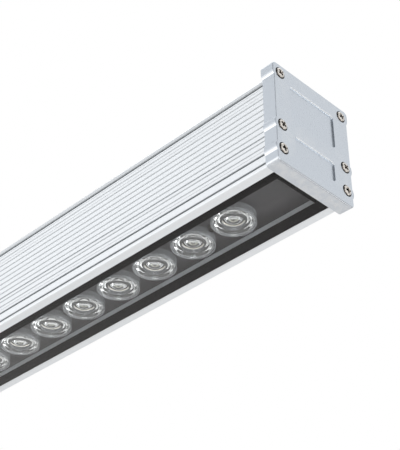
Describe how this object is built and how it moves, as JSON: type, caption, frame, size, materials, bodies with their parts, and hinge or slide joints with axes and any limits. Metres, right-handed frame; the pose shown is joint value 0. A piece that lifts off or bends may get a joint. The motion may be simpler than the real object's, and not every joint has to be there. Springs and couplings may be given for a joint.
{
  "type": "outdoor wall washer light",
  "caption": "Long finned aluminium bar light with a row of lenses behind a glass window, cast end caps and tilting wall brackets on a back rail.",
  "frame": {"origin": "middle of the overall length and width, in the plane of the end caps' lower edges", "axes": "+X along the bar from the cable gland's end cap to the other one, +Z from the window towards the back and the wall brackets"},
  "size_m": [1.0204, 0.06, 0.1102],
  "materials": {
    "body_aluminium": "satin silver anodised extrusion",
    "cap_aluminium": "die casting, silver painted, fine grain",
    "bracket_aluminium": "bent sheet, satin",
    "rubber": "matte silicone rubber",
    "screw_steel": "bright stainless",
    "bolt_steel": "satin stainless",
    "screw_brass": "plain brass",
    "gland_brass": "nickel plated brass",
    "window_glass": "clear tempered glass",
    "border_ink": "black screen print",
    "sealant": "cured silicone bead",
    "board_black": "black solder mask",
    "board_green": "green solder mask",
    "led_package": "pale phosphor package",
    "clear_holder": "clear polycarbonate",
    "clear_lens": "clear acrylic",
    "wire_red": "insulated wire",
    "wire_earth": "insulated earth wire",
    "tray_plastic": "black moulding",
    "component_dark": "sleeved and varnished parts",
    "terminal_green": "green moulding",
    "gland_plastic": "black nylon"
  },
  "bodies": {
    "lamp": {"housing": "body_aluminium", "right_end_cap": "cap_aluminium", "left_end_cap": "cap_aluminium", "right_end_gasket": "rubber", "left_end_gasket": "rubber", "right_cap_screws": "screw_steel", "left_cap_screws": "screw_steel", "window_glass": "window_glass", "window_border": "border_ink", "window_sealant": "sealant", "right_led_board": "board_black", "left_led_board": "board_black", "led_chips": "led_package", "lens_holders": "clear_holder", "lenses": "clear_lens", "board_screws": "screw_steel", "board_link_wires": "wire_red", "driver_tray": "tray_plastic", "driver_board": "board_green", "driver_components": "component_dark", "driver_screws": "screw_steel", "terminal_block": "terminal_green", "led_wires": "wire_red", "wire_grommet": "rubber", "earth_screw": "screw_brass", "earth_wire": "wire_earth", "gland_body": "gland_plastic", "gland_o_ring": "rubber", "gland_seal": "rubber", "gland_dome_nut": "gland_plastic", "gland_locknut": "gland_brass"},
    "right_bracket": {"right_rail_nut": "bolt_steel", "right_rail_bolt": "bolt_steel", "right_bracket_shoe": "bracket_aluminium", "right_pivot_bolts": "bolt_steel", "right_pivot_nuts": "bolt_steel", "right_pivot_washers": "bolt_steel"},
    "left_bracket": {"left_rail_nut": "bolt_steel", "left_rail_bolt": "bolt_steel", "left_bracket_shoe": "bracket_aluminium", "left_pivot_bolts": "bolt_steel", "left_pivot_nuts": "bolt_steel", "left_pivot_washers": "bolt_steel"},
    "right_foot": {"right_wall_foot": "bracket_aluminium"},
    "left_foot": {"left_wall_foot": "bracket_aluminium"}
  },
  "joints": [
    {"name": "right_bracket_slide", "type": "slide", "parent": "lamp", "child": "right_bracket", "axis": [1, 0, 0], "range_m": [-0.11, 0.29]},
    {"name": "left_bracket_slide", "type": "slide", "parent": "lamp", "child": "left_bracket", "axis": [1, 0, 0], "range_m": [-0.29, 0.11]},
    {"name": "right_foot_tilt", "type": "hinge", "parent": "right_bracket", "child": "right_foot", "pos_m": [0.1594, 0, 0.0862], "axis": [1, 0, 0], "range_deg": [-90, 90]},
    {"name": "left_foot_tilt", "type": "hinge", "parent": "left_bracket", "child": "left_foot", "pos_m": [-0.1406, 0, 0.0862], "axis": [1, 0, 0], "range_deg": [-90, 90]}
  ]
}
